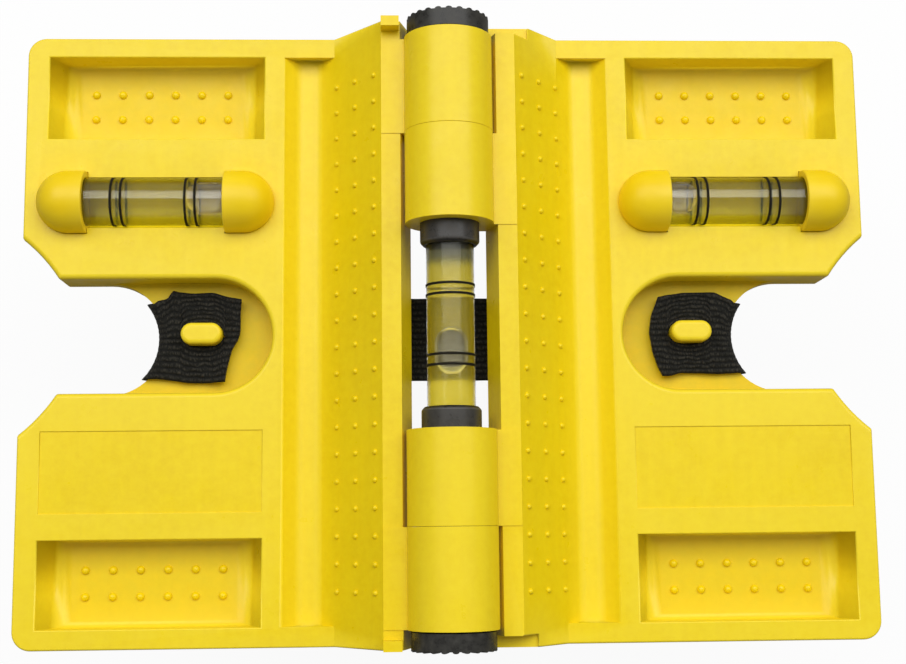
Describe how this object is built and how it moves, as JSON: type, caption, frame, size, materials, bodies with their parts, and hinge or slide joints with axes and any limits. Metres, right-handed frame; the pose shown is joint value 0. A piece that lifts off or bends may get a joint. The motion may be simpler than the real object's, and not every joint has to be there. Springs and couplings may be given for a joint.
{
  "type": "post level",
  "caption": "Folding post level: two hinged plastic leaves with a vee back, tubular vials on the leaves and the hinge axis, and an elastic strap that holds it to a post or pipe.",
  "frame": {"origin": "middle of the open level's footprint, on the plane of the back faces", "axes": "+X to the right leaf, +Y up along the hinge, +Z out of the front face"},
  "size_m": [0.172, 0.1244, 0.0298],
  "materials": {
    "leaf_plastic": "satin moulded yellow",
    "cap_plastic": "smooth moulded yellow",
    "pin_plastic": "semi-gloss black",
    "clear_tube": "clear polished acrylic",
    "spirit": "clear tinted liquid",
    "stopper": "plain grey",
    "ring_ink": "flat black ink",
    "strap_elastic": "ribbed woven elastic"
  },
  "bodies": {
    "left_leaf": {"left_leaf": "leaf_plastic", "left_vial_tube": "clear_tube", "left_vial_plug": "stopper", "left_vial_fluid": "spirit", "left_vial_lines": "ring_ink", "left_vial_outer_cap": "cap_plastic", "left_vial_inner_cap": "cap_plastic", "strap_left_end": "strap_elastic", "strap_span": "strap_elastic"},
    "right_leaf": {"right_leaf": "leaf_plastic", "right_vial_tube": "clear_tube", "right_vial_plug": "stopper", "right_vial_fluid": "spirit", "right_vial_lines": "ring_ink", "right_vial_outer_cap": "cap_plastic", "right_vial_inner_cap": "cap_plastic", "strap_right_end": "strap_elastic"},
    "axle": {"upper_hinge_pin": "pin_plastic", "lower_hinge_pin": "pin_plastic", "hinge_vial_tube": "clear_tube", "hinge_vial_plug": "stopper", "hinge_vial_fluid": "spirit", "hinge_vial_lines": "ring_ink"}
  },
  "joints": [
    {"name": "leaf_fold", "type": "hinge", "parent": "left_leaf", "child": "right_leaf", "pos_m": [0, 0, 0.021], "axis": [0, -1, 0], "range_deg": [-90, 180], "deforming": ["strap_span"]},
    {"name": "vial_turn", "type": "hinge", "parent": "left_leaf", "child": "axle", "pos_m": [0, 0, 0.021], "axis": [0, 1, 0], "continuous": true}
  ]
}
